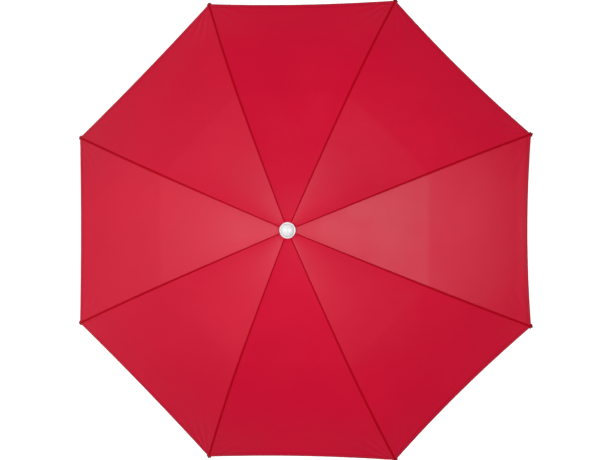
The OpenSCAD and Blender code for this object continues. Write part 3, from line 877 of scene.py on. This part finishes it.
def bumped(tree, shader, height, distance, strength=1.0, before=None):
    """Bumps a shader's surface by a height; returns the normal."""
    bump = tree.nodes.new("ShaderNodeBump")
    bump.inputs["Distance"].default_value = distance
    bump.inputs["Strength"].default_value = strength
    tree.links.new(height, bump.inputs["Height"])
    if before is not None:
        tree.links.new(before, bump.inputs["Normal"])
    tree.links.new(bump.outputs["Normal"], shader.inputs["Normal"])
    return bump.outputs["Normal"]


def weave(tree, threads):
    """Plain weave on the flat cut: crossed waves with a number of threads to the metre."""
    place = tree.nodes.new("ShaderNodeTexCoord")
    waves = []
    for direction in ("X", "Y"):
        wave = tree.nodes.new("ShaderNodeTexWave")
        wave.wave_type = "BANDS"
        wave.bands_direction = direction
        wave.wave_profile = "SIN"
        wave.inputs["Scale"].default_value = threads * math.tau / 20
        wave.inputs["Distortion"].default_value = 0.0
        tree.links.new(place.outputs["UV"], wave.inputs["Vector"])
        waves.append(wave.outputs["Fac"])
    product = tree.nodes.new("ShaderNodeMath")
    product.operation = "MULTIPLY"
    tree.links.new(waves[0], product.inputs[0])
    tree.links.new(waves[1], product.inputs[1])
    return product.outputs["Value"]


def cloth_material(name, colour, dark, roughness=0.40, specular=0.205):
    """Woven polyester: slightly uneven dye, a fine weave, soft creases, a little sheen and painted shade along the
    hem.
    """
    material, tree, shader = start_material(name, colour, roughness, 0.0, specular)
    shade = between(tree, noise(tree, 2.6, 4.0), 0.0, 1.0)
    # Painted shade: the edge attribute darkens the dyed colour to about a third along the hem's edge, fold and
    # stitch line.
    rim = tree.nodes.new("ShaderNodeAttribute")
    rim.attribute_name = "edge"
    hem_shaded = tree.nodes.new("ShaderNodeMix")
    hem_shaded.data_type = "RGBA"
    hem_shaded.inputs[7].default_value = (colour[0] * 0.36, colour[1] * 0.5, colour[2] * 0.35, 1)
    tree.links.new(rim.outputs["Fac"], hem_shaded.inputs[0])
    tree.links.new(mixed(tree, shade, dark, colour), hem_shaded.inputs[6])
    tree.links.new(hem_shaded.outputs[2], shader.inputs["Base Color"])
    shader.inputs["Sheen Weight"].default_value = 0.012
    shader.inputs["Sheen Roughness"].default_value = 0.5
    shader.inputs["Sheen Tint"].default_value = (1.0, 0.55, 0.6, 1)
    tree.links.new(between(tree, noise(tree, 9.0, 3.0), roughness - 0.03, roughness + 0.04),
                   shader.inputs["Roughness"])
    soft = bumped(tree, shader, noise(tree, 14.0, 5.0), 0.0016, 0.35)
    bumped(tree, shader, weave(tree, 1700), 0.000012, 0.8, soft)
    return material


def thread_material(name, colour):
    """Spun sewing thread: matt, with a fine twist."""
    material, tree, shader = start_material(name, colour, 0.7, 0.0, 0.05)
    darker = tuple(c * 0.8 for c in colour)
    tree.links.new(mixed(tree, between(tree, noise(tree, 900.0), 0, 1), darker, colour),
                   shader.inputs["Base Color"])
    bumped(tree, shader, noise(tree, 3200.0, 2.0), 0.00004, 0.6)
    return material


def moulding_material(name, colour, roughness=0.34):
    """Injection-moulded plastic: a faint grain and slightly uneven gloss."""
    material, tree, shader = start_material(name, colour, roughness)
    tree.links.new(between(tree, noise(tree, 60.0, 4.0), roughness - 0.05, roughness + 0.06),
                   shader.inputs["Roughness"])
    darker = tuple(c * 0.93 for c in colour)
    tree.links.new(mixed(tree, between(tree, noise(tree, 18.0), 0, 1), darker, colour),
                   shader.inputs["Base Color"])
    shader.inputs["Subsurface Weight"].default_value = 0.04
    shader.inputs["Subsurface Radius"].default_value = (0.003, 0.003, 0.003)
    bumped(tree, shader, noise(tree, 1400.0, 2.0), 0.00003, 0.4)
    return material


def coated_material(name, colour, roughness=0.30):
    """Powder coat on steel: fine orange peel under a clear gloss."""
    material, tree, shader = start_material(name, colour, roughness)
    darker = tuple(c * 0.95 for c in colour)
    tree.links.new(mixed(tree, between(tree, noise(tree, 7.0), 0, 1), darker, colour),
                   shader.inputs["Base Color"])
    shader.inputs["Coat Weight"].default_value = 0.25
    shader.inputs["Coat Roughness"].default_value = 0.18
    bumped(tree, shader, noise(tree, 620.0, 3.0), 0.00008, 0.45)
    return material


def metal_material(name, colour, roughness=0.28, stretch=(1, 1, 1)):
    """Drawn or plated metal: streaks along one direction in its gloss and tone."""
    material, tree, shader = start_material(name, colour, roughness, 1.0)
    streaks = noise(tree, 240.0, 4.0, stretch=stretch)
    tree.links.new(between(tree, streaks, roughness - 0.07, roughness + 0.10), shader.inputs["Roughness"])
    darker = tuple(c * 0.86 for c in colour)
    tree.links.new(mixed(tree, between(tree, streaks, 0, 1), darker, colour), shader.inputs["Base Color"])
    bumped(tree, shader, streaks, 0.00002, 0.5)
    return material


def finish(name):
    """The material of that name, made when it is first asked for."""
    found = bpy.data.materials.get(name)
    if found:
        return found
    cloth = bpy.context.scene.umbrella_canopy
    hard = bpy.context.scene.umbrella_frame
    darker = tuple(c * 0.90 for c in cloth.cloth)
    makers = {
        "canopy_cloth_red": lambda: cloth_material(name, tuple(cloth.cloth), darker),
        # Painted shade: the seam red is darker than the cloth, partly for the felled seam's double layer and
        # partly as painted shade along each seam.
        "seam_red": lambda: cloth_material(name, tuple(cloth.seam), tuple(c * 0.88 for c in cloth.seam),
                                           0.5, 0.03),
        "pocket_red": lambda: cloth_material(name, tuple(c * 0.36 for c in cloth.seam),
                                             tuple(c * 0.30 for c in cloth.seam), 0.5, 0.03),
        "thread_red": lambda: thread_material(name, tuple(cloth.thread)),
        "white_plastic": lambda: moulding_material(name, tuple(hard.white)),
        "white_dome": lambda: moulding_material(name, tuple(hard.white), 0.26),
        "white_coat": lambda: coated_material(name, tuple(hard.tube)),
        "wire_coat": lambda: coated_material(name, tuple(c * 0.97 for c in hard.tube), 0.34),
        "grey_plastic": lambda: moulding_material(name, (0.10, 0.10, 0.105), 0.45),
        "steel": lambda: metal_material(name, (0.62, 0.63, 0.64)),
        "brass": lambda: metal_material(name, (0.78, 0.56, 0.25), 0.30),
        "tip_plastic": lambda: moulding_material(name, tuple(hard.tip), 0.38),
        "button_plastic": lambda: moulding_material(name, tuple(hard.button), 0.36),
    }
    return makers[name]()


# ---------------------------------------------------------------- operators

class UMBRELLA_OT_canopy(Operator):
    """Sew the canopy: half gores, seams, hems, stitching, corner pockets and the crown patch"""
    bl_idname = "umbrella.canopy"
    bl_label = "Canopy"

    def execute(self, context):
        cloth = context.scene.umbrella_canopy
        make_gores(cloth, finish("canopy_cloth_red"))
        make_seams(cloth, finish("seam_red"))
        make_stitching(cloth, finish("thread_red"))
        make_patch(cloth, finish("canopy_cloth_red"))
        make_pockets(cloth, finish("pocket_red"), finish("thread_red"))
        return {"FINISHED"}


class UMBRELLA_OT_ribs(Operator):
    """Finish the ribs, rib joints, tips and stretchers"""
    bl_idname = "umbrella.ribs"
    bl_label = "Ribs and stretchers"

    def execute(self, context):
        make_tips(context.scene.umbrella_canopy, finish("tip_plastic"))
        for i in range(1, RIB_COUNT + 1):
            finish_node(f"rib_{i}", finish("wire_coat"))
            finish_node(f"stretcher_{i}", finish("wire_coat"))
            eased(f"rib_joint_{i}", 0.00025, finish("steel"))
        return {"FINISHED"}


class UMBRELLA_OT_crown(Operator):
    """Build the cap, the washer and the crown"""
    bl_idname = "umbrella.crown"
    bl_label = "Crown and cap"

    def execute(self, context):
        make_cap(finish("white_dome"))
        eased("crown", 0.0005, finish("white_plastic"))
        eased("canopy_washer", 0.0003, finish("white_plastic"))
        return {"FINISHED"}


class UMBRELLA_OT_runner(Operator):
    """Build the runner, its grip, its catch and the wire rings"""
    bl_idname = "umbrella.runner"
    bl_label = "Runner"

    def execute(self, context):
        eased("runner", 0.0005, finish("white_plastic"))
        eased("runner_catch", 0.0002, finish("steel"))
        make_runner_detail(finish("white_plastic"))
        make_rings(finish("steel"))
        return {"FINISHED"}


class UMBRELLA_OT_poles(Operator):
    """Build the poles, the glide plug and the ground spike"""
    bl_idname = "umbrella.poles"
    bl_label = "Poles"

    def execute(self, context):
        make_poles(finish("white_coat"))
        eased("top_pole", 0.0002, finish("white_coat"))
        eased("glide_plug", 0.0004, finish("grey_plastic"))
        eased("ground_spike", 0.0006, finish("white_plastic"))
        return {"FINISHED"}


class UMBRELLA_OT_tilt(Operator):
    """Build the tilt joint: fork, knuckle, pin, button and spring"""
    bl_idname = "umbrella.tilt"
    bl_label = "Tilt joint"

    def execute(self, context):
        eased("tilt_socket", 0.0006, finish("white_plastic"))
        eased("tilt_knuckle", 0.0006, finish("white_plastic"))
        eased("tilt_pin", 0.0003, finish("steel"))
        eased("tilt_button", 0.0004, finish("button_plastic"))
        make_spring(finish("steel"))
        return {"FINISHED"}


class UMBRELLA_OT_clamp(Operator):
    """Build the height clamp: collar, insert, screw and knob"""
    bl_idname = "umbrella.clamp"
    bl_label = "Height clamp"

    def execute(self, context):
        eased("clamp_collar", 0.0007, finish("white_plastic"))
        eased("clamp_nut", 0.0003, finish("brass"))
        make_screw(finish("steel"))
        make_knob(finish("white_plastic"))
        return {"FINISHED"}


class UMBRELLA_OT_stage(Operator):
    """Set the pale floor, the soft lights and the camera"""
    bl_idname = "umbrella.stage"
    bl_label = "Stage"

    def execute(self, context):
        stage = context.scene.umbrella_stage
        half = 60.0
        rim_z = TIP_LOW.z + 0.004
        material, tree, shader = start_material("floor", tuple(stage.floor), 0.9, 0.0, 0.0)
        shader.inputs["Emission Color"].default_value = (1, 1, 1, 1)
        shader.inputs["Emission Strength"].default_value = 0.6
        mesh = bpy.data.meshes.new("floor")
        mesh.from_pydata([(-half, -half, 0), (half, -half, 0), (half, half, 0), (-half, half, 0)], [],
                         [(0, 1, 2, 3)])
        mesh.materials.append(material)
        floor = bpy.data.objects.new("floor", mesh)
        context.scene.collection.objects.link(floor)
        for name, angle, distance, size, watts in (
                ("key_west", -27, 5.0, (1.6, 1.7), 132), ("key_east", 21, 5.0, (1.5, 1.6), 124),
                ("strip_west", -58, 5.0, (2.6, 5.6), 62), ("strip_east", 48, 5.0, (2.6, 1.8), 46)):
            light = bpy.data.lights.new(name, "AREA")
            light.shape = "RECTANGLE"
            light.size, light.size_y = size
            light.energy = watts
            lamp = bpy.data.objects.new(name, light)
            tilt = math.radians(angle)
            lamp.location = (distance * math.sin(tilt), 0, rim_z + distance * math.cos(tilt))
            lamp.rotation_euler = (0, tilt, 0)
            context.scene.collection.objects.link(lamp)
        world = bpy.data.worlds.new("studio")
        world.use_nodes = True
        tree = world.node_tree
        place = tree.nodes.new("ShaderNodeTexCoord")
        split = tree.nodes.new("ShaderNodeSeparateXYZ")
        tree.links.new(place.outputs["Generated"], split.inputs["Vector"])
        rise = tree.nodes.new("ShaderNodeMapRange")
        rise.interpolation_type = "SMOOTHSTEP"
        rise.inputs["From Min"].default_value = 0.12
        rise.inputs["From Max"].default_value = 0.34
        rise.inputs["To Min"].default_value = 0.6
        rise.inputs["To Max"].default_value = 0.07
        tree.nodes["Background"].inputs["Color"].default_value = (1, 1, 1, 1)
        tree.links.new(split.outputs["Z"], rise.inputs["Value"])
        tree.links.new(rise.outputs["Result"], tree.nodes["Background"].inputs["Strength"])
        context.scene.world = world
        camera = bpy.data.cameras.new("camera")
        camera.sensor_width = 36.0
        camera.lens = camera.sensor_width * stage.view_distance / stage.frame_width
        camera.dof.use_dof = False
        camera.clip_end = 200
        eye = bpy.data.objects.new("camera", camera)
        eye.location = (stage.aim_x + stage.view_distance * math.sin(stage.view_tilt), 0.001,
                        rim_z + stage.view_distance * math.cos(stage.view_tilt))
        eye.rotation_euler = (0, stage.view_tilt, 0)
        context.scene.collection.objects.link(eye)
        context.scene.camera = eye
        context.scene.view_settings.view_transform = "Standard"
        return {"FINISHED"}


class UMBRELLA_PT_panel(Panel):
    """Buttons for each group of pieces, and their settings"""
    bl_idname = "UMBRELLA_PT_panel"
    bl_label = "Beach Umbrella"
    bl_space_type = "VIEW_3D"
    bl_region_type = "UI"
    bl_category = "Umbrella"

    def draw(self, context):
        layout = self.layout
        for step in STEPS:
            layout.operator(step.bl_idname)
        for group in ("umbrella_canopy", "umbrella_frame", "umbrella_stage"):
            settings = getattr(context.scene, group)
            box = layout.box()
            for name in settings.bl_rna.properties.keys():
                if name not in ("rna_type", "name"):
                    box.prop(settings, name)


STEPS = (UMBRELLA_OT_canopy, UMBRELLA_OT_ribs, UMBRELLA_OT_crown, UMBRELLA_OT_runner, UMBRELLA_OT_poles,
         UMBRELLA_OT_tilt, UMBRELLA_OT_clamp, UMBRELLA_OT_stage)
CLASSES = (CanopySettings, FrameSettings, StageSettings) + STEPS + (UMBRELLA_PT_panel,)


def register():
    """Adds the settings, operators and panel."""
    for cls in CLASSES:
        bpy.utils.register_class(cls)
    bpy.types.Scene.umbrella_canopy = PointerProperty(type=CanopySettings)
    bpy.types.Scene.umbrella_frame = PointerProperty(type=FrameSettings)
    bpy.types.Scene.umbrella_stage = PointerProperty(type=StageSettings)


def unregister():
    """Removes them again."""
    for name in ("umbrella_canopy", "umbrella_frame", "umbrella_stage"):
        delattr(bpy.types.Scene, name)
    for cls in reversed(CLASSES):
        bpy.utils.unregister_class(cls)


def main():
    """Builds every piece and the stage."""
    register()
    for step in STEPS:
        package, name = step.bl_idname.split(".")
        getattr(getattr(bpy.ops, package), name)()


if __name__ == "__main__":
    main()
